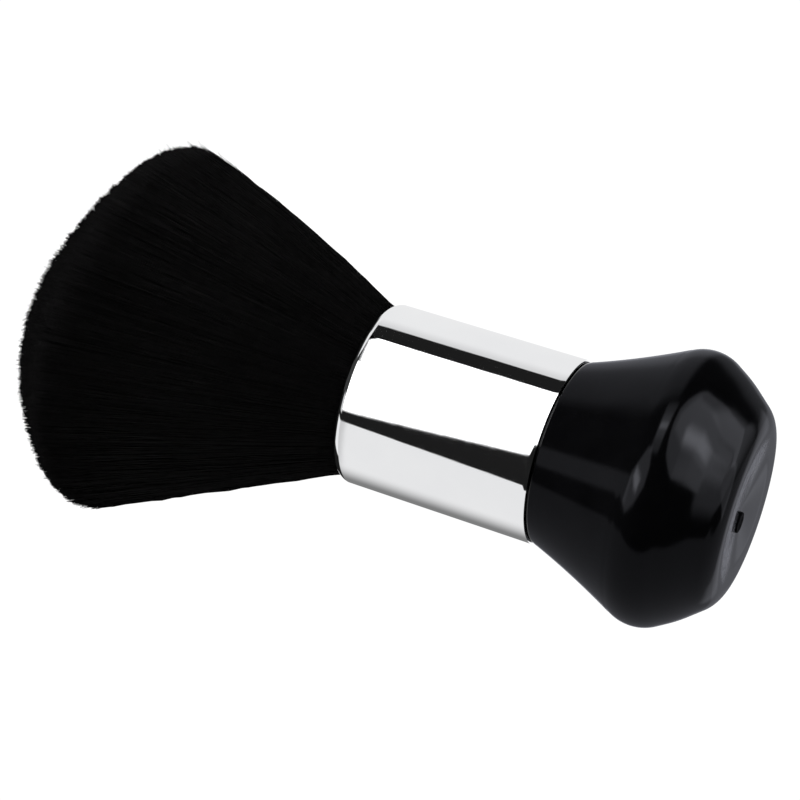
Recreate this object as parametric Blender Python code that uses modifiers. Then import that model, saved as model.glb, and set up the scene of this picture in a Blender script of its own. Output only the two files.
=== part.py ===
"""Neck duster brush, standing on the base of its handle: a moulded knob, a bright sleeve and a flared tuft.

Metres, +Z up along the brush's axis, origin at the centre of the ring that the handle stands on.
Inside the sleeve, from the handle up: tenon, glue ring, resin plug, binding and core plug, with the fibres' roots
around them. Pieces that touch on the real brush keep GAP between them here.
"""

import bmesh
import bpy
from math import atan2, cos, pi, sin, sqrt, tan

GAP = 0.0003            # left between neighbouring pieces
STEPS_FINE = 48         # segments round the handle, sleeve and tuft
STEPS_INNER = 32        # segments round the small hidden pieces

# Handle: a knob that flares from the sleeve to a soft ridge and tapers back to its base.
SHOULDER_Z = 0.0350     # where the sleeve ends and the knob begins
SHOULDER_R = 0.0171
RIDGE_Z = 0.0132        # the ridge and base corners, before they are rounded
RIDGE_R = 0.0266
RIDGE_ROUND = 0.0076
REAR_BULGE = 0.0006     # how far the rear face swells out of the straight line from ridge to base
REAR_ROUND = 0.025
BASE_R = 0.0169
BASE_ROUND = 0.0068
FLARE_START = 0.80      # the flare's slope at the shoulder, as a share of its mean slope
DISH_R = 0.0112         # shallow hollow in the base, inside the flat ring that the brush stands on
DISH_DEPTH = 0.0013
DISH_EASE = 0.13        # how much of the hollow's radius is eased, at its edge and at its middle
DISH_SHARES = (1, 0.94, 0.87, 0.13, 0.06, 0)  # where its profile has points, as shares of its radius
GATE_R = 0.00195        # stub left in the hollow where the moulding was cut from its runner
GATE_HEIGHT = 0.0007
GATE_X = -0.0022
TENON_TOP_Z = 0.0490    # the tenon is the part of the handle inside the sleeve
TENON_CHAMFER = 0.0010
GROOVE_Z = 0.0395       # glue groove round the tenon
GROOVE_HEIGHT = 0.0050
GROOVE_DEPTH = 0.0016

# Ferrule: a drawn tube with its mouth rolled inwards against the fibres.
FERRULE_R = 0.0175
FERRULE_WALL = 0.0005
FERRULE_LENGTH = 0.0386
LIP_ROUND = 0.0020      # outer radius of the rolled mouth
LIP_TURN = 75 * pi / 180

# Root of the tuft, inside the ferrule.
RESIN_HEIGHT = 0.0055
CORE_R = 0.0060
CORE_HEIGHT = 0.0130
CORE_CHAMFER = 0.0010
BINDING_Z = 0.0575
BINDING_HEIGHT = 0.0036
BINDING_DEPTH = 0.0011

# Free part of the tuft.
RIM_Z = 0.1235          # widest part of the flare
RIM_R = 0.0373
RIM_ROUND = 0.0020
FLARE_BOW = 0.12        # how much the flare bows outwards, as a share of its width
CROWN_HEIGHT = 0.0185   # from the widest part to the top of the domed crown

MOUTH_Z = SHOULDER_Z + FERRULE_LENGTH
BORE_R = FERRULE_R - FERRULE_WALL
TENON_R = BORE_R - GAP
RESIN_Z = TENON_TOP_Z + GAP
ROOT_Z = RESIN_Z + RESIN_HEIGHT + GAP


def arc(centre, radius, start, end, count):
    """Points (r, z) on an arc, angles in radians from the +r direction."""
    angles = [start + (end - start) * i / (count - 1) for i in range(count)]
    return [(centre[0] + radius * cos(a), centre[1] + radius * sin(a)) for a in angles]


def rounded(before, corner, after, radius, count):
    """Points (r, z) on the arc that rounds a corner between two straight runs."""
    ways = []
    for other in (before, after):
        run = (other[0] - corner[0], other[1] - corner[1])
        size = sqrt(run[0] ** 2 + run[1] ** 2)
        ways.append((run[0] / size, run[1] / size))
    half = atan2(
        abs(ways[0][0] * ways[1][1] - ways[0][1] * ways[1][0]),
        ways[0][0] * ways[1][0] + ways[0][1] * ways[1][1],
    ) / 2
    middle = (ways[0][0] + ways[1][0], ways[0][1] + ways[1][1])
    reach = radius / sin(half) / sqrt(middle[0] ** 2 + middle[1] ** 2)
    centre = (corner[0] + middle[0] * reach, corner[1] + middle[1] * reach)
    ends = []
    for way in ways:
        touch = (corner[0] + way[0] * radius / tan(half), corner[1] + way[1] * radius / tan(half))
        ends.append(atan2(touch[1] - centre[1], touch[0] - centre[0]))
    turn = (ends[1] - ends[0] + pi) % (2 * pi) - pi
    return arc(centre, radius, ends[0], ends[0] + turn, count)


def material(name, colour, roughness, metallic):
    made = bpy.data.materials.new(name)
    made.use_nodes = True
    shader = made.node_tree.nodes["Principled BSDF"]
    shader.inputs["Base Color"].default_value = (*colour, 1)
    shader.inputs["Roughness"].default_value = roughness
    shader.inputs["Metallic"].default_value = metallic
    return made


def turned(name, profile, closed, steps, finish, collection):
    """A solid of revolution about Z. The profile's points (r, z) run down its outer side."""
    mesh = bpy.data.meshes.new(name)
    count = len(profile)
    edges = [(i, i + 1) for i in range(count - 1)] + ([(count - 1, 0)] if closed else [])
    mesh.from_pydata([(r, 0, z) for r, z in profile], edges, [])
    mesh.materials.append(finish)
    piece = bpy.data.objects.new(name, mesh)
    collection.objects.link(piece)
    screw = piece.modifiers.new("Turn", "SCREW")
    screw.axis = "Z"
    screw.steps = screw.render_steps = steps
    screw.use_merge_vertices = True
    screw.merge_threshold = 0.00001
    screw.use_smooth_shade = True
    return piece


def flare_radius(along):
    """Radius of the knob's hollow flare, 0 at the shoulder to 1 at the ridge's corner."""
    return SHOULDER_R + (RIDGE_R - SHOULDER_R) * (FLARE_START * along + (1 - FLARE_START) * along**2)


def dish_height(r):
    """Height of the hollow in the base at a radius: a shallow cone, eased into the ring and at its middle."""
    along = r / DISH_R
    slope = 1 / (1 - DISH_EASE)
    if along > 1 - DISH_EASE:
        return DISH_DEPTH * slope * (1 - along) ** 2 / (2 * DISH_EASE)
    if along < DISH_EASE:
        return DISH_DEPTH * (1 - slope * along**2 / (2 * DISH_EASE))
    return DISH_DEPTH * slope * (1 - along - DISH_EASE / 2)


def make_gate_stub(cutters):
    """A short post that starts inside the handle and stands down out of the hollow, clear of the ground."""
    low, high = DISH_DEPTH - GATE_HEIGHT, DISH_DEPTH + GATE_HEIGHT
    mesh = bpy.data.meshes.new("gate_stub")
    shape = bmesh.new()
    bmesh.ops.create_cone(
        shape, cap_ends=True, segments=20, radius1=GATE_R, radius2=GATE_R, depth=high - low
    )
    shape.to_mesh(mesh)
    shape.free()
    stub = bpy.data.objects.new("gate_stub", mesh)
    stub.location = (GATE_X, 0, (low + high) / 2)
    stub.hide_render = True
    stub.display_type = "WIRE"
    cutters.objects.link(stub)
    return stub


def make_handle(collection, cutters):
    tenon = [
        (0, TENON_TOP_Z),
        (TENON_R - TENON_CHAMFER, TENON_TOP_Z),
        (TENON_R, TENON_TOP_Z - TENON_CHAMFER),
        (TENON_R, GROOVE_Z + GROOVE_HEIGHT),
        (TENON_R - GROOVE_DEPTH, GROOVE_Z + GROOVE_HEIGHT),
        (TENON_R - GROOVE_DEPTH, GROOVE_Z),
        (TENON_R, GROOVE_Z),
        (TENON_R, SHOULDER_Z - GAP),
    ]
    drop = SHOULDER_Z - GAP - RIDGE_Z
    flare = [(flare_radius(i / 10), SHOULDER_Z - GAP - drop * i / 10) for i in range(11)]
    ridge_corner, base_corner = (RIDGE_R, RIDGE_Z), (BASE_R, 0)
    swell = REAR_BULGE / sqrt(RIDGE_Z**2 + (RIDGE_R - BASE_R) ** 2)
    rear_corner = (
        (RIDGE_R + BASE_R) / 2 + swell * RIDGE_Z,
        RIDGE_Z / 2 - swell * (RIDGE_R - BASE_R),
    )
    ridge = rounded(flare[8], ridge_corner, rear_corner, RIDGE_ROUND, 9)
    rear = rounded(ridge_corner, rear_corner, base_corner, REAR_ROUND, 4)
    base = rounded(rear_corner, base_corner, (0, 0), BASE_ROUND, 7)
    dish = [(DISH_R * share, dish_height(DISH_R * share)) for share in DISH_SHARES]
    above_ridge = [point for point in flare if point[1] > ridge[0][1]]
    profile = tenon + above_ridge + ridge + rear + base + dish
    plastic = material("black gloss plastic", (0.004, 0.004, 0.0045), 0.08, 0)
    handle = turned("handle", profile, False, STEPS_FINE, plastic, collection)
    join = handle.modifiers.new("Gate stub", "BOOLEAN")
    join.operation = "UNION"
    join.solver = "EXACT"
    join.object = make_gate_stub(cutters)
    return handle


def make_ferrule(collection):
    lip_centre = (FERRULE_R - LIP_ROUND, MOUTH_Z - LIP_ROUND)
    outer = arc(lip_centre, LIP_ROUND, LIP_TURN, 0, 8)
    inner = arc(lip_centre, LIP_ROUND - FERRULE_WALL, 0, LIP_TURN, 8)
    foot = [(FERRULE_R, SHOULDER_Z), (BORE_R, SHOULDER_Z)]
    chrome = material("bright aluminium", (0.88, 0.88, 0.9), 0.06, 1)
    return turned("ferrule", outer + foot + inner, True, STEPS_FINE, chrome, collection)


def make_tenon_glue(collection):
    low, high = GROOVE_Z + GAP, GROOVE_Z + GROOVE_HEIGHT - GAP
    outside, inside = BORE_R - GAP, TENON_R - GROOVE_DEPTH + GAP
    profile = [(outside, high), (outside, low), (inside, low), (inside, high)]
    glue = material("cured glue", (0.75, 0.66, 0.42), 0.35, 0)
    return turned("tenon_glue", profile, True, STEPS_INNER, glue, collection)


def make_root_resin(collection):
    top = RESIN_Z + RESIN_HEIGHT
    profile = [(0, top), (BORE_R - GAP, top), (BORE_R - GAP, RESIN_Z), (0, RESIN_Z)]
    resin = material("amber resin", (0.42, 0.27, 0.1), 0.25, 0)
    return turned("root_resin", profile, False, STEPS_INNER, resin, collection)


def make_core_plug(collection):
    top = ROOT_Z + CORE_HEIGHT
    profile = [
        (0, top),
        (CORE_R - CORE_CHAMFER, top),
        (CORE_R, top - CORE_CHAMFER),
        (CORE_R, ROOT_Z),
        (0, ROOT_Z),
    ]
    wood = material("pale wood", (0.62, 0.45, 0.28), 0.7, 0)
    return turned("core_plug", profile, False, STEPS_INNER, wood, collection)


def make_root_binding(collection):
    """The binding cord's turns, side by side round the fibres' roots, as one band."""
    outside, inside = BORE_R - GAP, BORE_R - GAP - BINDING_DEPTH
    high = BINDING_Z + BINDING_HEIGHT
    profile = [(outside, high), (outside, BINDING_Z), (inside, BINDING_Z), (inside, high)]
    cord = material("binding cord", (0.7, 0.68, 0.62), 0.9, 0)
    return turned("root_binding", profile, True, STEPS_INNER, cord, collection)


def tuft_flare(mouth_r):
    """The tuft's outer side from the crown's edge down to the ferrule's mouth."""
    points = []
    for i in range(9):
        along = 1 - i / 9
        share = along * (1 + FLARE_BOW * (1 - along))
        points.append((mouth_r + (RIM_R - mouth_r) * share, MOUTH_Z + (RIM_Z - MOUTH_Z) * along))
    return points


def make_bristle_tuft(collection):
    root_r = BORE_R - GAP
    mouth_r = FERRULE_R - LIP_ROUND + (LIP_ROUND - FERRULE_WALL) * cos(LIP_TURN) - GAP
    waist_r = root_r - BINDING_DEPTH - GAP
    crown = [(RIM_R * i / 8, RIM_Z + CROWN_HEIGHT * (1 - (i / 8) ** 2)) for i in range(8)]
    flare = tuft_flare(mouth_r)
    rim = rounded(crown[-1], (RIM_R, RIM_Z), flare[1], RIM_ROUND, 5)
    neck_z = MOUTH_Z - LIP_ROUND - GAP
    root = [
        (mouth_r, MOUTH_Z),
        (mouth_r, neck_z + GAP),
        (root_r, neck_z - (root_r - mouth_r)),
        (root_r, BINDING_Z + BINDING_HEIGHT + GAP),
        (waist_r, BINDING_Z + BINDING_HEIGHT + GAP),
        (waist_r, BINDING_Z - GAP),
        (root_r, BINDING_Z - GAP),
        (root_r, ROOT_Z),
    ]
    core_top = ROOT_Z + CORE_HEIGHT + GAP
    core_hole = [
        (CORE_R + GAP, ROOT_Z),
        (CORE_R + GAP, core_top - CORE_CHAMFER),
        (CORE_R + GAP - CORE_CHAMFER, core_top),
        (0, core_top),
    ]
    profile = crown + rim + flare[1:] + root + core_hole
    fibre = material("black fibre", (0.006, 0.006, 0.007), 0.55, 0)
    return turned("bristle_tuft", profile, False, STEPS_FINE, fibre, collection)


def main():
    for old in list(bpy.data.objects):
        bpy.data.objects.remove(old, do_unlink=True)
    brush = bpy.data.collections.new("neck_duster_brush")
    cutters = bpy.data.collections.new("cutters")
    for collection in (brush, cutters):
        bpy.context.scene.collection.children.link(collection)
    make_handle(brush, cutters)
    for make in (
        make_tenon_glue,
        make_ferrule,
        make_root_resin,
        make_core_plug,
        make_root_binding,
        make_bristle_tuft,
    ):
        make(brush)


main()
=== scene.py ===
"""Looks of a neck duster brush: gloss black knob handle, chrome ferrule, flared black tuft.

Everything is in the row frame, in metres: the brush stands on its base ring on z = 0, with the
bristles pointing up. The handle's and the ferrule's radii and heights repeat the CAD model's.
The tuft is a little lopsided, where the CAD model's is even all round.
"""

import math

import bpy
import numpy as np
from mathutils import Matrix, Vector


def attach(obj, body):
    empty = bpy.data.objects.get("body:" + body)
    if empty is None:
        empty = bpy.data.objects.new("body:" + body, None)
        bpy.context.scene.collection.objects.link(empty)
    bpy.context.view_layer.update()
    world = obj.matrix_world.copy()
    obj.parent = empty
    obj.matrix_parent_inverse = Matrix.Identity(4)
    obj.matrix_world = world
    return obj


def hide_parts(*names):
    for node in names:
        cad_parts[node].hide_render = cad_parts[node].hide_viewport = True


BODY = "root"
SEED = 40719

GAP = 0.0003  # left between neighbouring pieces

# Handle
SHOULDER_Z = 0.035 - GAP
SHOULDER_R = 0.0171
SHOULDER_ROUND = 0.0004
RIDGE_Z = 0.0132
RIDGE_R = 0.0266
RIDGE_ROUND = 0.0076
REAR_BULGE = 0.0006
REAR_ROUND = 0.025
BASE_R = 0.0169
BASE_ROUND = 0.0068
FLARE_START = 0.80  # the flare's slope at the shoulder, as a share of its mean slope
DISH_R = 0.0112
DISH_DEPTH = 0.0013
DISH_EASE = 0.13  # how much of the hollow's radius is eased, at its edge and at its middle
GATE_R = 0.00195
GATE_HEIGHT = 0.0007
GATE_X = -0.0022
PAINTED_HIGHLIGHT_EDGE = (-0.0045, 0.0005)  # a painted highlight: a pale band on the base's -Y side, fading out over this run of Y
PAINTED_HIGHLIGHT_R = (0.0124, 0.0138)  # and over this run of radius
# the colour of that painted highlight
PAINTED_HIGHLIGHT_COLOUR = (0.36, 0.36, 0.37)
TENON_R = 0.0167
TENON_TOP_Z = 0.049
TENON_CHAMFER = 0.001
GROOVE_Z = 0.0395
GROOVE_HEIGHT = 0.005
GROOVE_DEPTH = 0.0016

# Ferrule
FERRULE_R = 0.0175
FERRULE_WALL = 0.0005
FERRULE_LENGTH = 0.0386
LIP_ROUND = 0.002
LIP_TURN = math.radians(75)
CRIMP_LENGTH = 0.0008
CRIMP_TURN = math.radians(5)

# Tuft. The +X side is the shorter and rounder one, because the bristles lean a little to -X.
MOUTH_Z = 0.0736
MOUTH_R = 0.0157
RIM_Z = (0.1227, 0.1245)  # +X side, -X side
RIM_R = (0.0352, 0.0386)
CROWN_HEIGHT = (0.0180, 0.0183)
FLARE_BOW = (0.24, 0.0)  # how far the flare bows out of the straight, as a share of its width
CROWN_POWER = (1.49, 2.76)
ROOT_PAINTED_SHADE = 0.72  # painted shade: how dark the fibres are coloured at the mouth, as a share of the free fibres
# the painted shade at the mouth fades out by this height
ROOT_PAINTED_SHADE_Z = 0.105
# over this run of height the side fibres are coloured darker towards the rim, as painted shade
RIM_PAINTED_SHADE_Z = (0.1180, 0.1238)
EDGE_DROP, EDGE_POWER = 0.0011, 24  # how far the dome turns down at its rim, and how suddenly
SUNK = -0.12  # how far down in the ferrule the core starts, as a share of the fibres' free length

# Groups of fibres. inside and outside are shares of the tuft's radius and start is where a fibre
# begins, as a share of its length from the mouth. pulled is how far tips close up into clumps,
# loose is how far they stray, in metres, and length_spread is a share of the length.
OUTER_FIBRES = {
    "count": 2250, "inside": 0.955, "outside": 1.0, "spans": 12, "width": 0.00018,
    "pulled": 0.2, "loose": 0.00016, "length_spread": 0.004,
}
OUTER_START = (SUNK, -0.06)
CROWN_FIBRES = {
    "count": 7500, "inside": 0.0, "outside": 0.985, "spans": 4, "width": 0.0002,
    "pulled": 0.6, "loose": 0.0002, "length_spread": 0.005,
}
CROWN_START = (0.72, 0.80)
STRAY_FIBRES = {
    "count": 240, "inside": 0.94, "outside": 1.0, "spans": 9, "width": 0.00014,
    "pulled": 0.3, "loose": 0.0007, "length_spread": 0.01, "round_to": 0.6,
}
STRAY_START = (0.70, 0.84)
STRAY_SHORT = 0.7  # the share of them that start at the top of that run
CLUMPS = 2600
CLUMP_LENGTH, CLUMP_DRIFT = 0.003, 0.00012
WAVE = 0.00016  # how far a fibre waves from side to side
TAPER = ([0, 0.75, 1.0], [1, 1, 0.45])  # a fibre's width along its length

TURN_STEPS = 256

# Camera and stage
CAMERA_LENS = 90
CAMERA_SENSOR = 36
CAMERA_RIGHT = (0.3039, 0.3287, -0.8942)
CAMERA_UP = (0.9527, -0.1048, 0.2852)
CAMERA_PLACE = (0.0002, -0.3497, -0.0606)
SURROUND = 1.05  # brightness of the white behind everything
FLOOR_DROP = 0.0002
FLOOR_RINGS = [0.05, 0.1, 0.2, 0.4, 0.8, 1.6, 3.0]
FLOOR_FADE = (0.2, 1.4)  # the floor fades into the surround between these radii


# ---------------------------------------------------------------- meshes


def mesh_object(name, points, quads, triangles=None, uv=None, smooth_angle=None, check=True):
    """An object from arrays. uv holds a pair for each corner of the quads, then the triangles."""
    quads = np.asarray(quads, np.int32).reshape(-1, 4)
    triangles = np.zeros((0, 3)) if triangles is None else triangles
    triangles = np.asarray(triangles, np.int32)
    loops = np.concatenate([quads.ravel(), triangles.ravel()])
    sizes = np.concatenate([np.full(len(quads), 4), np.full(len(triangles), 3)]).astype(np.int32)
    starts = np.concatenate([[0], np.cumsum(sizes)[:-1]]).astype(np.int32)
    mesh = bpy.data.meshes.new(name)
    mesh.vertices.add(len(points))
    mesh.vertices.foreach_set("co", np.asarray(points, np.float32).ravel())
    mesh.loops.add(len(loops))
    mesh.loops.foreach_set("vertex_index", loops)
    mesh.polygons.add(len(sizes))
    mesh.polygons.foreach_set("loop_start", starts)
    mesh.update(calc_edges=True)
    if check:
        mesh.validate()
    if uv is not None:
        layer = mesh.uv_layers.new(name="OFBake")
        layer.uv.foreach_set("vector", np.asarray(uv, np.float32).ravel())
    mesh.polygons.foreach_set("use_smooth", np.ones(len(mesh.polygons), bool))
    if smooth_angle:
        mesh.set_sharp_from_angle(angle=smooth_angle)
    obj = bpy.data.objects.new(name, mesh)
    bpy.context.scene.collection.objects.link(obj)
    return obj


def ring_angles(steps):
    return np.arange(steps) * math.tau / steps


def stacked(name, rings, down=False, smooth_angle=None):
    """A closed solid from a stack of rings of points between two end points."""
    starts = np.concatenate([[0], np.cumsum([len(ring) for ring in rings])])
    steps = len(rings[1])
    quads = []
    for i in range(1, len(rings) - 2):
        a, b = starts[i] + np.arange(steps), starts[i + 1] + np.arange(steps)
        quads.append(np.stack([a, np.roll(a, -1), np.roll(b, -1), b], 1))
    first, last = starts[1] + np.arange(steps), starts[-3] + np.arange(steps)
    triangles = [
        np.stack([np.full(steps, 0), np.roll(first, -1), first], 1),
        np.stack([last, np.roll(last, -1), np.full(steps, starts[-2])], 1),
    ]
    quads, triangles = np.concatenate(quads), np.concatenate(triangles)
    if down:
        quads, triangles = quads[:, [0, 3, 2, 1]], triangles[:, [0, 2, 1]]
    return mesh_object(
        name, np.concatenate(rings), quads, triangles, smooth_angle=smooth_angle
    )


def turned(name, profile, steps=TURN_STEPS, ring=False, smooth_angle=math.radians(32)):
    """A solid of revolution. A ring's profile closes on itself; another's ends lie on the axis."""
    profile = np.asarray(profile, float)
    count = len(profile)
    length = np.concatenate([[0], np.cumsum(np.hypot(*np.diff(profile, axis=0).T))])
    v = 0.01 + 0.98 * length / length[-1]
    if ring:
        v = np.append(v, 0.999)
    angle = ring_angles(steps)
    points = np.stack(
        [
            profile[:, None, 0] * np.cos(angle),
            profile[:, None, 0] * np.sin(angle),
            np.repeat(profile[:, 1:2], steps, axis=1),
        ],
        axis=-1,
    )
    u = np.arange(steps + 1) / steps
    left, right, middle = u[:-1], u[1:], u[:-1] + 0.5 / steps

    def corner_row(across, height):
        return np.stack([across, np.full(steps, height)], 1)

    index = np.arange(count * steps).reshape(count, steps)
    quads, uv = [], []
    for i in range(count if ring else count - 1):
        a, b = index[i], index[(i + 1) % count]
        va, vb = v[i], v[i + 1]
        if not ring and i == 0:
            low_cap = np.stack([np.full(steps, a[0]), np.roll(b, -1), b], axis=1)
            low_uv = [corner_row(middle, va), corner_row(right, vb), corner_row(left, vb)]
        elif not ring and i == count - 2:
            high_cap = np.stack([a, np.roll(a, -1), np.full(steps, b[0])], axis=1)
            high_uv = [corner_row(left, va), corner_row(right, va), corner_row(middle, vb)]
        else:
            quads.append(np.stack([a, np.roll(a, -1), np.roll(b, -1), b], axis=1))
            corners = (left, va), (right, va), (right, vb), (left, vb)
            uv.append(np.stack([corner_row(*corner) for corner in corners], axis=1))
    points = points.reshape(-1, 3)
    quads = np.concatenate(quads)
    corner_uv = np.concatenate(uv).reshape(-1, 2)
    triangles = None
    if not ring:
        triangles = np.concatenate([low_cap, high_cap])
        cap_uv = [np.stack(cap, axis=1).reshape(-1, 2) for cap in (low_uv, high_uv)]
        corner_uv = np.concatenate([corner_uv, *cap_uv])
        used = np.ones(len(points), bool)
        used[index[0, 1:]] = False
        used[index[-1, 1:]] = False
        renumber = np.cumsum(used) - 1
        points, quads, triangles = points[used], renumber[quads], renumber[triangles]
    return mesh_object(name, points, quads, triangles, corner_uv, smooth_angle)


def arc(centre, radius, start, end, steps):
    """Points on an arc in the (radius, z) plane. Angles are in radians from +r towards +z."""
    angle = np.linspace(start, end, steps + 1)
    return np.stack(
        [centre[0] + radius * np.cos(angle), centre[1] + radius * np.sin(angle)], axis=1
    )


def rounded(before, corner, after, radius, steps):
    """Points of the arc that rounds a corner between two straight runs."""
    before, corner, after = (np.asarray(p, float) for p in (before, corner, after))
    into = (before - corner) / np.linalg.norm(before - corner)
    out = (after - corner) / np.linalg.norm(after - corner)
    half = math.acos(float(np.clip(into @ out, -1, 1))) / 2
    centre = corner + (into + out) / np.linalg.norm(into + out) * radius / math.sin(half)
    first = corner + into * radius / math.tan(half) - centre
    last = corner + out * radius / math.tan(half) - centre
    start, end = math.atan2(first[1], first[0]), math.atan2(last[1], last[0])
    turn = (end - start + math.pi) % math.tau - math.pi
    return arc(centre, radius, start, start + turn, steps)


def path_between(start, end, steps):
    """Points strictly between two ends of a straight run, so that long faces stay short."""
    share = np.linspace(0, 1, steps + 1)[1:-1, None]
    return (1 - share) * np.asarray(start, float) + share * np.asarray(end, float)


# ---------------------------------------------------------------- materials


def empty_tree(owner):
    """The node tree of a material or world, without its default nodes."""
    owner.use_nodes = True
    owner.node_tree.nodes.clear()
    return owner.node_tree


class Nodes:
    """A small helper that adds nodes to one material."""

    def __init__(self, name):
        self.material = bpy.data.materials.new(name)
        self.tree = empty_tree(self.material)
        self.shader = self.add("ShaderNodeBsdfPrincipled")
        output = self.add("ShaderNodeOutputMaterial")
        self.tree.links.new(self.shader.outputs[0], output.inputs[0])
        self.place = self.add("ShaderNodeTexCoord").outputs["Object"]

    def add(self, kind, **settings):
        node = self.tree.nodes.new(kind)
        for key, value in settings.items():
            setattr(node, key, value)
        return node

    def link(self, source, target):
        self.tree.links.new(source, target)

    def set(self, **values):
        for key, value in values.items():
            self.shader.inputs[key.replace("_", " ")].default_value = value

    def noise(self, scale, detail=2.0, roughness=0.5, stretch=(1, 1, 1)):
        """Noise in object space; scale is in features per metre."""
        mapping = self.add("ShaderNodeMapping")
        mapping.inputs["Scale"].default_value = stretch
        self.link(self.place, mapping.inputs["Vector"])
        noise = self.add("ShaderNodeTexNoise")
        noise.inputs["Scale"].default_value = scale
        noise.inputs["Detail"].default_value = detail
        noise.inputs["Roughness"].default_value = roughness
        self.link(mapping.outputs["Vector"], noise.inputs["Vector"])
        return noise.outputs["Fac"]

    def ramp(self, source, low, high, start=0.3, end=0.7):
        """A colour ramp, or a grey one where low and high are numbers."""
        ramp = self.add("ShaderNodeValToRGB")
        for element, place, colour in zip(
            ramp.color_ramp.elements, (start, end), (low, high), strict=True
        ):
            element.position = place
            element.color = (*colour, 1) if isinstance(colour, tuple) else (colour,) * 3 + (1,)
        self.link(source, ramp.inputs["Fac"])
        return ramp.outputs["Color"]

    def fade(self, source, start, end, low=0.0, high=1.0):
        """A smooth run from low at start to high at end."""
        fade = self.add("ShaderNodeMapRange", interpolation_type="SMOOTHSTEP")
        ends = {"From Min": start, "From Max": end, "To Min": low, "To Max": high}
        for key, value in ends.items():
            fade.inputs[key].default_value = value
        self.link(source, fade.inputs["Value"])
        return fade.outputs["Result"]

    def times(self, *sources):
        """The product of several values."""
        product = sources[0]
        for source in sources[1:]:
            node = self.add("ShaderNodeMath", operation="MULTIPLY")
            self.link(product, node.inputs[0])
            self.link(source, node.inputs[1])
            product = node.outputs[0]
        return product

    def mix(self, share, low, high):
        """Low where share is 0 and high where it is 1."""
        mix = self.add("ShaderNodeMix", data_type="RGBA")
        self.link(share, mix.inputs["Factor"])
        self.link(low, mix.inputs[6])
        mix.inputs[7].default_value = (*high, 1)
        return mix.outputs[2]

    def bump(self, height, strength, distance, under=None):
        bump = self.add("ShaderNodeBump")
        bump.inputs["Strength"].default_value = strength
        bump.inputs["Distance"].default_value = distance
        self.link(height, bump.inputs["Height"])
        if under is not None:
            self.link(under, bump.inputs["Normal"])
        return bump.outputs["Normal"]


def gloss_plastic():
    """Moulded black plastic: a mirror-like skin with slow sink waves and a light haze, and a pale
    painted highlight on the base's -Y side.
    """
    n = Nodes("gloss_black_plastic")
    n.set(Specular_IOR_Level=0.5, IOR=1.5)
    black = n.ramp(n.noise(180, 3), (0.0012, 0.0012, 0.0014), (0.0024, 0.0024, 0.0027))
    # A pale band is painted on the base's -Y side as a painted highlight.
    place = n.add("ShaderNodeSeparateXYZ")
    n.link(n.place, place.inputs[0])
    flat = n.add("ShaderNodeVectorMath", operation="MULTIPLY")
    n.link(n.place, flat.inputs[0])
    flat.inputs[1].default_value = (1, 1, 0)
    radius = n.add("ShaderNodeVectorMath", operation="LENGTH")
    n.link(flat.outputs[0], radius.inputs[0])
    painted_highlight = n.times(
        n.fade(place.outputs["Y"], PAINTED_HIGHLIGHT_EDGE[1], PAINTED_HIGHLIGHT_EDGE[0]),
        n.fade(place.outputs["Z"], 2 * DISH_DEPTH, 1.2 * DISH_DEPTH),
        n.fade(radius.outputs["Value"], PAINTED_HIGHLIGHT_R[1], PAINTED_HIGHLIGHT_R[0]),
        n.fade(n.noise(900, 4, 0.6), 0.25, 0.6, 0.5, 1.0),
    )
    n.link(n.mix(painted_highlight, black, PAINTED_HIGHLIGHT_COLOUR), n.shader.inputs["Base Color"])
    n.link(n.ramp(n.noise(420, 4, 0.6), 0.07, 0.13), n.shader.inputs["Roughness"])
    waves = n.bump(n.noise(55, 1.5), 0.10, 0.0012)
    n.link(n.bump(n.noise(1500, 2), 0.04, 0.00005, waves), n.shader.inputs["Normal"])
    return n.material


def torn_plastic():
    """The same plastic where it was snapped off: dull, rough and streaked."""
    n = Nodes("torn_black_plastic")
    n.set(Specular_IOR_Level=0.06)
    grain = n.noise(2600, 4, 0.7, (0.6, 1, 1.6))
    colour = n.ramp(grain, (0.001, 0.001, 0.0012), (0.03, 0.03, 0.031), 0.5, 0.85)
    n.link(colour, n.shader.inputs["Base Color"])
    n.link(n.ramp(n.noise(900, 3), 0.5, 0.7), n.shader.inputs["Roughness"])
    n.link(n.bump(grain, 0.7, 0.0002), n.shader.inputs["Normal"])
    return n.material


def chrome():
    """Bright plated metal with faint orange peel and drawing lines along the tube."""
    n = Nodes("bright_chrome")
    n.set(Metallic=1.0)
    n.link(
        n.ramp(n.noise(90, 3), (0.93, 0.935, 0.95), (0.96, 0.965, 0.975)),
        n.shader.inputs["Base Color"],
    )
    n.link(n.ramp(n.noise(600, 3), 0.025, 0.05), n.shader.inputs["Roughness"])
    peel = n.bump(n.noise(240, 2), 0.006, 0.0006)
    lines = n.noise(5200, 1, stretch=(1, 1, 0.03))
    n.link(n.bump(lines, 0.02, 0.00004, peel), n.shader.inputs["Normal"])
    return n.material


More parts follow.
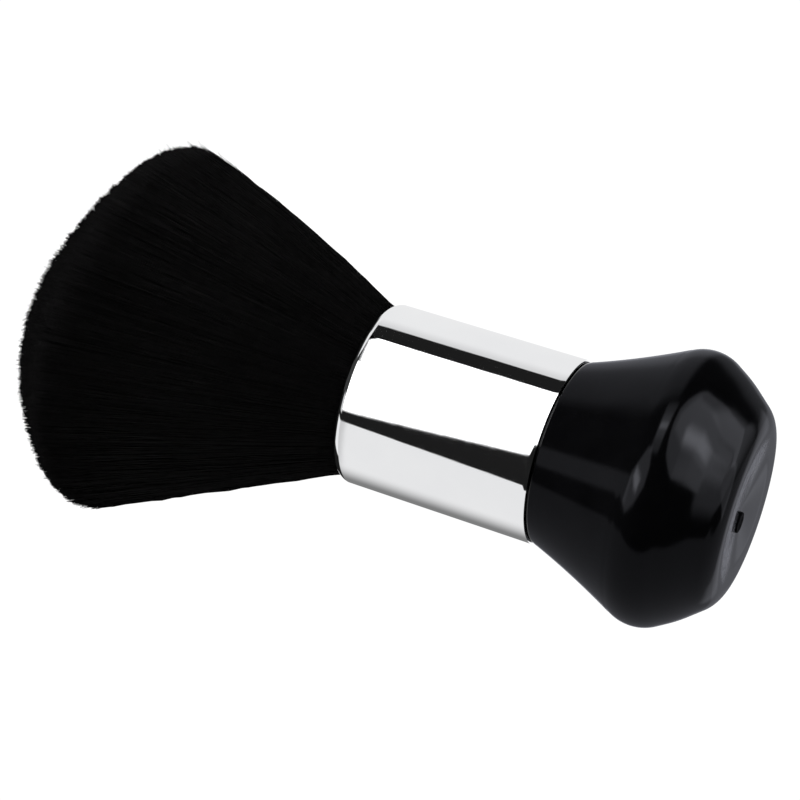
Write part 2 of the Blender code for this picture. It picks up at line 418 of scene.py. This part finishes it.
def bristle(name, low, high, rim_painted_shade=1.0):
    """Dyed synthetic fibre: soot black with lighter and darker lengths and a dull finish. Painted
    shade: it is coloured darker towards the mouth, and by rim_painted_shade towards the rim.
    """
    n = Nodes(name)
    n.set(Specular_IOR_Level=0.0)
    flecks = n.ramp(n.noise(1500, 3, 0.7, (1, 1, 0.35)), low, high, 0.35, 0.75)
    height = n.add("ShaderNodeSeparateXYZ")
    n.link(n.place, height.inputs[0])
    # Painted shade: darker towards the mouth, and towards the rim by rim_painted_shade.
    shade = n.times(
        n.fade(height.outputs["Z"], MOUTH_Z, ROOT_PAINTED_SHADE_Z, ROOT_PAINTED_SHADE, 1.0),
        n.fade(height.outputs["Z"], *RIM_PAINTED_SHADE_Z, 1.0, rim_painted_shade),
    )
    scale = n.add("ShaderNodeVectorMath", operation="SCALE")
    n.link(flecks, scale.inputs[0])
    n.link(shade, scale.inputs["Scale"])
    n.link(scale.outputs[0], n.shader.inputs["Base Color"])
    n.link(n.ramp(n.noise(900, 2, 0.5, (1, 1, 0.1)), 0.45, 0.65), n.shader.inputs["Roughness"])
    return n.material


def bristle_core_material():
    """Painted shade between the fibres: the dense middle of the tuft, coloured darker than them.
    """
    n = Nodes("bristle_core")
    n.set(Specular_IOR_Level=0.0)
    streaks = n.noise(3000, 3, 0.5, (1, 1, 0.2))
    colour = n.ramp(streaks, (0.0034, 0.0034, 0.0035), (0.0050, 0.0050, 0.0049))
    n.link(colour, n.shader.inputs["Base Color"])
    n.link(n.ramp(n.noise(900, 2), 0.7, 0.9), n.shader.inputs["Roughness"])
    n.link(n.bump(streaks, 0.5, 0.0002), n.shader.inputs["Normal"])
    return n.material


def simple(name, dark, light, rough, scale, relief, stretch=(1, 1, 1)):
    """A material for a piece that is hidden inside the assembly."""
    n = Nodes(name)
    grain = n.noise(scale, 4, 0.6, stretch)
    n.link(n.ramp(grain, dark, light), n.shader.inputs["Base Color"])
    n.link(n.ramp(grain, rough[0], rough[1]), n.shader.inputs["Roughness"])
    n.link(n.bump(grain, 0.5, relief), n.shader.inputs["Normal"])
    return n.material


# ---------------------------------------------------------------- handle and ferrule


def flare_radius(along):
    """Radius of the front cone; along runs from 0 at the shoulder to 1 at the ridge."""
    return SHOULDER_R + (RIDGE_R - SHOULDER_R) * (
        FLARE_START * along + (1 - FLARE_START) * along**2
    )


def dish_height(radius):
    """Height of the hollow in the base: a shallow cone, eased into the ring and at its middle."""
    along = np.asarray(radius) / DISH_R
    slope = 1 / (1 - DISH_EASE)
    straight = slope * (1 - along - DISH_EASE / 2)
    rim = slope * np.clip(1 - along, 0, None) ** 2 / (2 * DISH_EASE)
    middle = 1 - slope * along**2 / (2 * DISH_EASE)
    zones = [along > 1 - DISH_EASE, along < DISH_EASE]
    return DISH_DEPTH * np.select(zones, [rim, middle], straight)


def make_handle():
    along = np.linspace(0, 1, 41)[:-1]
    front = np.stack(
        [flare_radius(along), SHOULDER_Z + (RIDGE_Z - SHOULDER_Z) * along], axis=1
    )
    base = (BASE_R, 0.0)
    rear = np.array(((RIDGE_R + BASE_R) / 2, RIDGE_Z / 2))
    outward = np.array((RIDGE_Z, BASE_R - RIDGE_R))
    rear += REAR_BULGE * outward / math.hypot(RIDGE_Z, RIDGE_R - BASE_R)
    ridge = rounded(front[-1], (RIDGE_R, RIDGE_Z), rear, RIDGE_ROUND, 36)
    front = front[front[:, 1] > ridge[0, 1] + 0.0002]
    rear_curve = rounded((RIDGE_R, RIDGE_Z), rear, base, REAR_ROUND, 12)
    heel = rounded(rear, base, (DISH_R, 0.0), BASE_ROUND, 30)
    dish_r = np.linspace(DISH_R, 0, 40)
    dish = np.stack([dish_r, dish_height(dish_r)], axis=1)
    top_in = TENON_R - TENON_CHAMFER
    groove_top = GROOVE_Z + GROOVE_HEIGHT
    groove_r = TENON_R - GROOVE_DEPTH
    tenon = np.array(
        [
            (0, TENON_TOP_Z),
            (top_in, TENON_TOP_Z),
            (TENON_R, TENON_TOP_Z - TENON_CHAMFER),
            (TENON_R, groove_top),
            (groove_r, groove_top),
            (groove_r, GROOVE_Z),
            (TENON_R, GROOVE_Z),
        ]
    )
    shoulder = rounded(
        (TENON_R, SHOULDER_Z), (SHOULDER_R, SHOULDER_Z), front[2], SHOULDER_ROUND, 8
    )
    foot = [(TENON_R, SHOULDER_Z)]
    profile = np.concatenate([tenon, foot, shoulder, front[2:], ridge, rear_curve, heel, dish])
    return turned("knob_handle", profile[::-1])


def make_gate_stub():
    """The snapped-off sprue stub in the dish: a short post with a torn, slightly hollow end."""
    rng = np.random.default_rng(SEED)
    angle = ring_angles(96)
    wave = sum(
        rng.normal(0, 1) / k * np.cos(k * angle + rng.uniform(0, math.tau)) for k in range(2, 9)
    )
    bottom = DISH_DEPTH + GATE_HEIGHT
    end = DISH_DEPTH - GATE_HEIGHT
    rows = [  # share of the radius, height, how much of the tear it takes
        (1.02, bottom, 0),
        (1.0, end + 0.0009, 0.1),
        (0.985, end + 0.00025, 0.35),
        (0.95, end + 0.00006, 0.8),
        (0.90, end, 1.0),
        (0.80, end + 0.00004, 0.9),
        (0.60, end + 0.00016, 0.5),
        (0.35, end + 0.0002, 0.4),
    ]
    rings = [np.array([[GATE_X, 0, bottom]])]
    for share, height, torn in rows:
        r = GATE_R * share * (1 + 0.012 * torn * wave)
        z = height + 0.00007 * torn * wave
        rings.append(np.stack([GATE_X + r * np.cos(angle), r * np.sin(angle), z], axis=1))
    rings.append(np.array([[GATE_X, 0, end + 0.00022]]))
    return stacked("gate_stub", rings, down=True, smooth_angle=math.radians(50))


def make_ferrule():
    bottom, top = SHOULDER_Z + GAP, SHOULDER_Z + GAP + FERRULE_LENGTH
    centre = (FERRULE_R - LIP_ROUND, top - LIP_ROUND)
    outer = arc(centre, LIP_ROUND, 0, LIP_TURN, 24)
    inner = arc(centre, LIP_ROUND - FERRULE_WALL, LIP_TURN, 0, 24)
    # The lower end is drawn in a little where it meets the handle.
    crimp = CRIMP_LENGTH / math.sin(CRIMP_TURN)
    low_out = arc((FERRULE_R - crimp, bottom + CRIMP_LENGTH), crimp, -CRIMP_TURN, 0, 16)
    low_in = low_out[::-1] - np.array([FERRULE_WALL, 0])
    edge = rounded(low_in[-1], low_in[-1] - [0, 0.0001], low_out[0], 0.00003, 3)
    wall = path_between(low_out[-1], outer[0], 20)
    profile = np.concatenate([low_in[-1:], edge, low_out, wall, outer, inner, low_in[:-1]])
    return turned("chrome_ferrule", profile, ring=True)


# ---------------------------------------------------------------- tuft


def side_mix(pair, azimuth, out=1.0):
    """A measure that runs smoothly across the tuft from its +X value to its -X value."""
    share = (1 + out * np.cos(azimuth)) / 2
    return pair[0] * share + pair[1] * (1 - share)


def flow(azimuth, out, along, length=1.0):
    """Radius and height of a point on a fibre.

    out is 0 on the axis to 1 on the outside, and along is 0 at the mouth to 1 at the tip.
    """
    rim_r, rim_z = side_mix(RIM_R, azimuth), side_mix(RIM_Z, azimuth, out)
    crown, bow = side_mix(CROWN_HEIGHT, azimuth, out), side_mix(FLARE_BOW, azimuth)
    power = side_mix(CROWN_POWER, azimuth)
    above = np.clip(along, 0, None)
    share = above * (1 + bow * (1 - above))
    radius = out * (MOUTH_R + (rim_r - MOUTH_R) * share)
    # The dome turns down steeply in the last few millimetres, so that the rim is rounded.
    tip = rim_z + crown * (1 - np.clip(out, 0, None) ** power) - EDGE_DROP * out**EDGE_POWER
    height = MOUTH_Z + along * (tip * length + MOUTH_Z * (1 - length) - MOUTH_Z)
    return radius, height


def fibre_uv(count, spans):
    """Each fibre bakes into its own small cell: its sides' corners, then its two ends'."""
    across = math.ceil(math.sqrt(count))
    cell = np.stack([np.arange(count) % across, np.arange(count) // across], axis=1) / across
    pad, size = 0.2 / across, 0.6 / across
    u = np.arange(4) / 3 * size + pad
    v = np.arange(spans + 1) / spans * size + pad
    side = np.arange(3)
    quad_uv = np.empty((count, spans, 3, 4, 2), np.float32)
    for corner, (du, dv) in enumerate(((0, 0), (1, 0), (1, 1), (0, 1))):
        quad_uv[..., corner, 0] = cell[:, None, None, 0] + u[side + du][None, None]
        quad_uv[..., corner, 1] = cell[:, None, None, 1] + v[np.arange(spans) + dv][None, :, None]
    cap_uv = np.repeat(np.concatenate([cell, cell]), 3, axis=0).reshape(-1, 3, 2) + pad
    cap_uv[:, 1, 0] += size
    cap_uv[:, 2, 1] += size
    return np.concatenate([quad_uv.reshape(-1, 2), cap_uv.reshape(-1, 2)])


def fibres(
    name, rng, clumps, start, *,
    count, inside, outside, spans, width, pulled, loose, length_spread, round_to=math.pi,
):
    """Closed three-sided tubes along the flow of the tuft, up to round_to either way from +X."""
    azimuth = rng.uniform(-round_to, round_to, count)
    out = np.sqrt(rng.uniform(inside**2, outside**2, count))
    # Fine clumps: each tip is drawn part of the way to the nearest clump's middle.
    flat = np.stack([out * np.cos(azimuth), out * np.sin(azimuth)], axis=1)
    nearest = np.empty(count, int)
    for i in range(0, count, 4000):
        gap = ((flat[i : i + 4000, None] - clumps["place"][None]) ** 2).sum(-1)
        nearest[i : i + 4000] = gap.argmin(1)
    pull = rng.uniform(0, pulled, count)[:, None]
    tip_flat = flat + (clumps["place"][nearest] - flat) * pull
    length = 1 + clumps["length"][nearest] + rng.normal(0, length_spread, count) - length_spread
    drift = rng.normal(0, loose, (count, 2)) + clumps["drift"][nearest]
    along = np.linspace(0, 1, spans + 1)
    along = start[:, None] + (1 - start[:, None]) * along[None]  # count x rings
    share = np.clip(along, 0, 1)
    x = flat[:, None, 0] * (1 - share**2) + tip_flat[:, None, 0] * share**2
    y = flat[:, None, 1] * (1 - share**2) + tip_flat[:, None, 1] * share**2
    o, a = np.hypot(x, y), np.arctan2(y, x)
    radius, height = flow(a, o, along, length[:, None])
    # A fibre strays only from its own start, so that none floats free.
    bend = np.linspace(0, 1, spans + 1) ** 2.2
    wave = rng.normal(0, WAVE, (count, 2))[:, None] * np.sin(
        math.pi * (share * rng.uniform(3, 8, count)[:, None] + rng.uniform(0, 2, count)[:, None])
    )[..., None] * np.sqrt(share)[..., None]
    centre = np.stack(
        [
            radius * np.cos(a) + drift[:, None, 0] * bend + wave[..., 0],
            radius * np.sin(a) + drift[:, None, 1] * bend + wave[..., 1],
            height,
        ],
        axis=-1,
    )
    tangent = np.gradient(centre, axis=1)
    tangent /= np.linalg.norm(tangent, axis=-1, keepdims=True)
    turn = rng.uniform(0, math.tau, count)
    aside = np.stack([np.cos(turn), np.sin(turn), np.zeros(count)], axis=1)[:, None]
    first = np.cross(tangent, aside)
    first /= np.linalg.norm(first, axis=-1, keepdims=True)
    second = np.cross(tangent, first)
    half = width / 2 * rng.uniform(0.8, 1.2, count)[:, None] * np.interp(along, *TAPER)
    corners = [
        centre + half[..., None] * (math.cos(t) * first + math.sin(t) * second)
        for t in (0, math.tau / 3, 2 * math.tau / 3)
    ]
    points = np.stack(corners, axis=2)  # count x rings x 3 x xyz
    rings = spans + 1
    index = np.arange(count * rings * 3).reshape(count, rings, 3)
    low, high = index[:, :-1], index[:, 1:]
    quads = np.stack([low, np.roll(low, -1, 2), np.roll(high, -1, 2), high], axis=-1)
    caps = np.concatenate([index[:, 0, ::-1], index[:, -1]])
    uv = fibre_uv(count, spans)
    return mesh_object(name, points.reshape(-1, 3), quads.reshape(-1, 4), caps, uv)


def make_tuft(side_fibre, painted_shade_tip_fibre):
    rng = np.random.default_rng(SEED + 1)
    azimuth = rng.uniform(0, math.tau, CLUMPS)
    out = np.sqrt(rng.uniform(0, 1.02, CLUMPS))
    clumps = {
        "place": np.stack([out * np.cos(azimuth), out * np.sin(azimuth)], axis=1),
        "length": rng.normal(0, CLUMP_LENGTH, CLUMPS),
        "drift": rng.normal(0, CLUMP_DRIFT, (CLUMPS, 2)),
    }
    made = []
    for i in range(4):
        start = rng.uniform(*OUTER_START, OUTER_FIBRES["count"])
        obj = fibres(f"bristles_outer_{i + 1}", rng, clumps, start, **OUTER_FIBRES)
        made.append((obj, side_fibre))
    # The crown's fibres take the darker copy of the fibre colour, painted shade.
    for i in range(4):
        start = rng.uniform(*CROWN_START, CROWN_FIBRES["count"])
        obj = fibres(f"bristles_crown_{i + 1}", rng, clumps, start, **CROWN_FIBRES)
        made.append((obj, painted_shade_tip_fibre))
    # A few looser ones on the +X side, most of them at its corner.
    count = STRAY_FIBRES["count"]
    short = rng.uniform(0, 1, count) < STRAY_SHORT
    start = np.where(short, STRAY_START[1], rng.uniform(*STRAY_START, count))
    made.append((fibres("bristles_stray", rng, clumps, start, **STRAY_FIBRES), side_fibre))
    for obj, material in made:
        obj.data.materials.append(material)
    return [obj for obj, _ in made]


def make_core():
    """The dense middle of the tuft, just under the fibres that show."""
    azimuth = ring_angles(160)
    rows = [(0.983, along) for along in np.linspace(SUNK, 0.965, 40)]
    rows += [(out, 0.975 + 0.003 * (1 - out)) for out in np.linspace(0.955, 0.04, 24)]

    def centre_point(along):
        return np.array([[0, 0, flow(np.zeros(1), 0.0, along)[1][0]]])

    rings = [centre_point(SUNK)]
    for out, along in rows:
        r, z = flow(azimuth, out, along)
        rings.append(np.stack([r * np.cos(azimuth), r * np.sin(azimuth), z], axis=1))
    rings.append(centre_point(0.978))
    return stacked("bristle_core", rings)


# ---------------------------------------------------------------- stage


def direction(azimuth, elevation):
    """Unit vector; azimuth is in degrees from -Y towards +X."""
    a, e = np.broadcast_arrays(np.radians(azimuth), np.radians(elevation))
    return np.stack([np.sin(a) * np.cos(e), -np.cos(a) * np.cos(e), np.sin(e)], axis=-1)


DOME_RADIUS = 5.0

# Studio lighting as soft-edged patches of a large dome. Azimuth 0 is -Y and 90 is +X. A box is its
# brightness, azimuth from and to, how soft each of those edges is, elevation from and to, how soft
# each of those is, and perhaps how far each azimuth edge leans with elevation. An outline is its
# brightness, its corners anticlockwise as azimuth and elevation, and how soft its edge is.
HANDLE_BOXES = [
    (0.018, (-181, 181), (1, 1), (-91, 91), (1, 1)),  # the room
    (0.16, (76, 196), (26, 1), (8, 54), (10, 14)),  # wall on the +X side
    (0.08, (136, 196), (14, 1), (-28, 34), (14, 14)),
    (0.19, (150, 210), (14, 14), (-33, -16), (4, 6)),  # seen in the hollow of the base
    (0.30, (22, 66), (6, 10), (2, 22), (3, 4)),  # small softbox
    (0.28, (34, 56), (10, 8), (3, 21), (4, 6)),
    (0.90, (42.5, 48.5), (3, 4), (3, 20), (4, 5)),
    (0.45, (88, 140), (6, 60), (-68, -37), (3, 8)),
    (0.32, (-30, 196), (40, 1), (-95, -66), (1, 4)),  # pale table below
    (0.18, (30, 130), (30, 40), (-95, -66), (1, 4)),
    (0.20, (-30, 0), (8, 8), (44, 70), (8, 8)),
]
HANDLE_OUTLINES = [
    (0.12, [(-200, -72), (-68, -72), (-50, 36), (-62, 60), (-68, 68), (-200, 68)], 5),  # -X wall
    (0.42, [(-6, 8), (10, 9), (26, 20), (26, 28), (3, 50), (-28, 52), (-33, 38), (-22, 22)], 5),
    (1.50, [(-12, 24), (-2, 22), (2, 28), (8, 40), (0, 42), (-10, 32)], 7),  # upper softbox
    # The low softbox, which is brighter towards its middle.
    (0.45, [(3, -67), (112, -67), (112, -37), (104, -31), (93, -23.2), (74, -11), (63, -5.5),
            (51, -6), (37, -10.5), (24, -18.5), (17, -29.5), (10, -44), (6.5, -54)], 3),
    (0.36, [(38, -64), (80, -64), (93, -40), (90, -27), (60, -12), (46, -14)], 9),
    (1.45, [(48, -62), (66, -58), (68, -46), (56, -38), (48, -42)], 12),
    (0.25, [(4, -67), (44, -67), (44, -50), (12, -50)], 6),
]
FERRULE_BOXES = [
    (0.012, (-181, 181), (1, 1), (-91, 91), (1, 1)),
    (0.66, (88.4, 196), (1.2, 1), (-95, 42), (1, 6)),  # wall on the +X side
    (0.18, (96, 196), (18, 1), (-95, 42), (1, 6)),
    (2.20, (32.5, 67.5), (2.4, 1.0), (-95, 23.4), (1, 0.8)),  # two panels of a softbox
    (2.20, (-15.5, 31.5), (5, 2.4), (-95, 24.8), (1, 0.8), (-3.1, 0)),
    (0.62, (-128, -51.0), (40, 1.2), (-95, 23.5), (1, 3), (0, 1.1)),  # wall on the -X side
    (0.20, (-196, -51.0), (1, 1.2), (-95, 23.5), (1, 3), (0, 1.1)),
    (0.62, (-36, -12), (3, 10), (25.5, 44), (1.5, 8)),
    (0.03, (-12, 46), (8, 8), (27, 75), (3, 10)),
]
FERRULE_OUTLINES = [
    (-2.20, [(69, 21.2), (69, 26), (50, 26), (52, 23.6), (66, 22.4)], 0.8),  # its clipped corner
    (0.80, [(66, 25.4), (88.4, 24.4), (88.4, 46), (40, 46), (50, 29)], 1.0),
    (0.84, [(-98, 24), (-45, 24), (-45, 48), (-98, 48)], 2.5),
]
LEAN_FROM, LEAN_LIMIT = 17, 5  # a box's edges lean from this elevation, up to this far either way
BRISTLE_BOXES = [
    (0.6, (-181, 181), (1, 1), (-91, 91), (1, 1)),
    (1.5, (50, 150), (40, 40), (-10, 70), (30, 20)),
    (0.3, (-130, -50), (40, 40), (-60, 60), (30, 30)),
]


def window(value, low, high, soft):
    """1 from low to high, with an even fall over soft degrees centred on each end."""
    rise = np.clip((value - low) / soft[0] + 0.5, 0, 1)
    fall = np.clip((high - value) / soft[1] + 0.5, 0, 1)
    return rise**2 * (3 - 2 * rise) * fall**2 * (3 - 2 * fall)


def depth_inside(corners, azimuth, elevation):
    """How many degrees inside a convex outline each direction lies; negative outside."""
    corners = np.array(corners, float)
    depth = np.full(np.broadcast(azimuth, elevation).shape, np.inf)
    for start, end in zip(corners, np.roll(corners, -1, axis=0), strict=True):
        run = (end - start) / np.linalg.norm(end - start)
        depth = np.minimum(depth, run[0] * (elevation - start[1]) - run[1] * (azimuth - start[0]))
    return depth


def glow(boxes, outlines, azimuth, elevation):
    """Brightness of a dome in each direction."""
    total = np.zeros(np.broadcast(azimuth, elevation).shape)
    turns = (-360, 0, 360)
    tilt = np.clip(elevation - LEAN_FROM, -LEAN_LIMIT, LEAN_LIMIT)
    for value, (low, high), across_soft, up, up_soft, *lean in boxes:
        lean_low, lean_high = lean[0] if lean else (0, 0)
        ends = low + lean_low * tilt, high + lean_high * tilt
        share = sum(window(azimuth + t, *ends, across_soft) for t in turns)
        total += value * np.minimum(share, 1) * window(elevation, *up, up_soft)
    for value, corners, soft in outlines:
        depth = np.max([depth_inside(corners, azimuth + t, elevation) for t in turns], axis=0)
        share = np.clip(depth / soft + 0.5, 0, 1)
        total += value * share**2 * (3 - 2 * share)
    return np.maximum(total, 0)


def grid_lines(*spans):
    """Values from the first span's start; each span is its end and its step."""
    start, lines = spans[0], [np.array([spans[0]])]
    for end, step in spans[1:]:
        count = max(1, round((end - start) / step))
        lines.append(np.linspace(start, end, count + 1)[1:])
        start = end
    return np.concatenate(lines)


def light_only(light, receivers):
    """Let a light fall on its receivers alone."""
    group = bpy.data.collections.new(light.name + "_receivers")
    for receiver in receivers:
        group.objects.link(receiver)
    light.light_linking.receiver_collection = group


def dome(
    name, boxes, outlines, azimuths, elevations, receivers, tint=(1, 1, 1), radius=DOME_RADIUS
):
    """A dome of light that only its receivers reflect, so each finish has a studio to suit it."""
    a, e = azimuths[None], elevations[:, None]
    grid = radius * direction(a, e)
    light = glow(boxes, outlines, a, e)
    index = np.arange(grid.shape[0] * grid.shape[1]).reshape(grid.shape[:2])
    quads = np.stack([index[:-1, :-1], index[1:, :-1], index[1:, 1:], index[:-1, 1:]], -1)
    obj = mesh_object(name, grid.reshape(-1, 3), quads.reshape(-1, 4), check=False)
    layer = obj.data.attributes.new("glow", "FLOAT", "POINT")
    layer.data.foreach_set("value", light.ravel().astype(np.float32))
    material = bpy.data.materials.new(name)
    tree = empty_tree(material)
    material.cycles.emission_sampling = "NONE"
    add, link = tree.nodes.new, tree.links.new
    value = add("ShaderNodeAttribute")
    value.attribute_name = "glow"
    shine = add("ShaderNodeEmission")
    shine.inputs["Color"].default_value = (*tint, 1)
    link(value.outputs["Fac"], shine.inputs["Strength"])
    clear = add("ShaderNodeBsdfTransparent")
    both = add("ShaderNodeAddShader")
    link(shine.outputs[0], both.inputs[0])
    link(clear.outputs[0], both.inputs[1])
    output = add("ShaderNodeOutputMaterial")
    link(both.outputs[0], output.inputs[0])
    obj.data.materials.append(material)
    obj.visible_camera = False
    obj.visible_shadow = False
    light_only(obj, receivers)


def make_floor():
    """A pale round floor that fades into the white surround. It shows only from above."""
    steps = 96
    angle = ring_angles(steps)
    points = [np.array([[0, 0, 0]])] + [
        np.stack([r * np.cos(angle), r * np.sin(angle), np.zeros(steps)], 1) for r in FLOOR_RINGS
    ]
    quads = []
    for i in range(len(FLOOR_RINGS) - 1):
        a, b = 1 + i * steps + np.arange(steps), 1 + (i + 1) * steps + np.arange(steps)
        quads.append(np.stack([a, b, np.roll(b, -1), np.roll(a, -1)], 1))
    first = 1 + np.arange(steps)
    triangles = np.stack([np.zeros(steps, int), first, np.roll(first, -1)], 1)
    obj = mesh_object("floor", np.concatenate(points), np.concatenate(quads), triangles)
    obj.location.z = -FLOOR_DROP
    material = bpy.data.materials.new("pale_floor")
    tree = empty_tree(material)
    add, link = tree.nodes.new, tree.links.new
    diffuse = add("ShaderNodeBsdfDiffuse")
    diffuse.inputs["Color"].default_value = (0.8, 0.8, 0.8, 1)
    clear = add("ShaderNodeBsdfTransparent")
    place = add("ShaderNodeTexCoord")
    far = add("ShaderNodeVectorMath")
    far.operation = "LENGTH"
    link(place.outputs["Object"], far.inputs[0])
    fade = add("ShaderNodeMapRange")
    fade.interpolation_type = "SMOOTHERSTEP"
    fade.inputs["From Min"].default_value, fade.inputs["From Max"].default_value = FLOOR_FADE
    link(far.outputs["Value"], fade.inputs["Value"])
    geometry = add("ShaderNodeNewGeometry")
    most = add("ShaderNodeMath")
    most.operation = "MAXIMUM"
    link(fade.outputs["Result"], most.inputs[0])
    link(geometry.outputs["Backfacing"], most.inputs[1])
    mix = add("ShaderNodeMixShader")
    link(most.outputs[0], mix.inputs[0])
    link(diffuse.outputs[0], mix.inputs[1])
    link(clear.outputs[0], mix.inputs[2])
    output = add("ShaderNodeOutputMaterial")
    link(mix.outputs[0], output.inputs[0])
    obj.data.materials.append(material)
    obj.visible_glossy = False
    obj.visible_diffuse = False
    obj.visible_shadow = False
    return obj


def make_world():
    """White to the camera and dark to everything else, so that only the lights light the brush."""
    world = bpy.data.worlds.new("white_surround")
    bpy.context.scene.world = world
    tree = empty_tree(world)
    add, link = tree.nodes.new, tree.links.new
    seen = add("ShaderNodeBackground")
    seen.inputs["Color"].default_value = (1, 1, 1, 1)
    seen.inputs["Strength"].default_value = SURROUND
    room = add("ShaderNodeBackground")
    room.inputs["Color"].default_value = (1, 1, 1, 1)
    room.inputs["Strength"].default_value = 0.0
    path = add("ShaderNodeLightPath")
    mix = add("ShaderNodeMixShader")
    link(path.outputs["Is Camera Ray"], mix.inputs[0])
    link(room.outputs[0], mix.inputs[1])
    link(seen.outputs[0], mix.inputs[2])
    output = add("ShaderNodeOutputWorld")
    link(mix.outputs[0], output.inputs[0])


def area_light(name, place, size, power):
    """A round light that points at the middle of the base."""
    light = bpy.data.lights.new(name, "AREA")
    light.shape = "DISK"
    light.size = size
    light.energy = power
    obj = bpy.data.objects.new(name, light)
    bpy.context.scene.collection.objects.link(obj)
    obj.location = place
    obj.rotation_euler = (-Vector(place)).to_track_quat("-Z", "Y").to_euler()
    obj.visible_camera = False
    obj.visible_glossy = False
    return obj


def make_stage():
    floor = make_floor()
    make_world()
    area_light("overhead", (0.3, -0.4, 1.3), size=1.0, power=30)
    # A weak broad light for the floor alone keeps the shadow under the knob from going black.
    light_only(area_light("floor_fill", (-0.3, 0.3, 1.0), size=2.4, power=7), [floor])


def make_camera():
    data = bpy.data.cameras.new("camera")
    data.lens = CAMERA_LENS
    data.sensor_width = CAMERA_SENSOR
    data.clip_start = 0.01
    camera = bpy.data.objects.new("camera", data)
    bpy.context.scene.collection.objects.link(camera)
    right, up = np.array(CAMERA_RIGHT), np.array(CAMERA_UP)
    right /= np.linalg.norm(right)
    up -= right * (up @ right)
    up /= np.linalg.norm(up)
    back = np.cross(right, up)
    rows = [[right[i], up[i], back[i], CAMERA_PLACE[i]] for i in range(3)]
    camera.matrix_world = Matrix(rows + [[0, 0, 0, 1]])
    bpy.context.scene.camera = camera


# ---------------------------------------------------------------- the scene

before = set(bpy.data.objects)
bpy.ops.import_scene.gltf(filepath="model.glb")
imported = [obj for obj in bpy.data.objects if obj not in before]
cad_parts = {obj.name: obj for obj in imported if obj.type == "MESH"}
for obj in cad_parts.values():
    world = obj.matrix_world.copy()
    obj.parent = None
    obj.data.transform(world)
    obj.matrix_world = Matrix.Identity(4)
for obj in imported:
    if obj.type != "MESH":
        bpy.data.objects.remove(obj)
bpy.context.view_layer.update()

bpy.context.scene.view_settings.view_transform = "Standard"
bpy.context.scene.view_settings.look = "None"

make_camera()
make_stage()

plastic, metal = gloss_plastic(), chrome()
# The side fibres' colour falls to half at the rim, as painted shade.
side_fibre = bristle("black_bristle", (0.0058, 0.0058, 0.0060), (0.0080, 0.0079, 0.0078), 0.5)
# The crown's fibres take a darker copy of the same fibre colour: painted shade on the tips, which
# catch more light.
painted_shade_tip_fibre = bristle("black_bristle_tips_painted_shade", (0.0020, 0.0020, 0.0021), (0.0034, 0.0034, 0.0033))

handle = make_handle()
handle.data.materials.append(plastic)
stub = make_gate_stub()
stub.data.materials.append(torn_plastic())
ferrule = make_ferrule()
ferrule.data.materials.append(metal)
core = make_core()
core.data.materials.append(bristle_core_material())
tuft = make_tuft(side_fibre, painted_shade_tip_fibre)

for piece, slot_name, node in [
    (handle, "handle_plastic", "handle"),
    (stub, "handle_plastic", None),
    (ferrule, "bright_metal", "ferrule"),
    (core, "bristle_fibre", "bristle_tuft"),
] + [(obj, "bristle_fibre", "bristle_tuft") for obj in tuft]:
    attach(piece, BODY)
    if node:
        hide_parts(node)

# The domes' grids are fine only where the light has sharp edges.
even = grid_lines(-180, (180, 1.5)), grid_lines(-90, (90, 1.5))
dome("handle_light", HANDLE_BOXES, HANDLE_OUTLINES, *even, [handle, stub], (0.94, 0.96, 1.07))
edges = (
    grid_lines(-180, (-60, 3), (-5, 0.5), (30, 3), (34, 0.2), (64, 3), (91, 0.4), (180, 3)),
    grid_lines(-90, (9, 5), (30, 0.15), (50, 1), (90, 4)),
)
dome("ferrule_light", FERRULE_BOXES, FERRULE_OUTLINES, *edges, [ferrule])
coarse = grid_lines(-180, (180, 6)), grid_lines(-90, (90, 6))
dome("bristle_light", BRISTLE_BOXES, [], *coarse, [core] + tuft, radius=1.05 * DOME_RADIUS)

HIDDEN = {
    "tenon_glue": simple("glue", (0.45, 0.36, 0.2), (0.6, 0.5, 0.3), (0.4, 0.6), 300, 0.0002),
    "root_resin": simple(
        "resin", (0.30, 0.17, 0.05), (0.42, 0.26, 0.09), (0.1, 0.25), 200, 0.0002
    ),
    "core_plug": simple(
        "plug_wood", (0.36, 0.22, 0.11), (0.55, 0.38, 0.2), (0.5, 0.7), 500, 0.0002, (1, 1, 0.1)
    ),
    "root_binding": simple(
        "cord", (0.5, 0.47, 0.4), (0.75, 0.72, 0.65), (0.7, 0.9), 900, 0.0003, (0.3, 0.3, 3)
    ),
}
for node, material in HIDDEN.items():
    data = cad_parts[node].data
    data.materials.clear()
    data.materials.append(material)
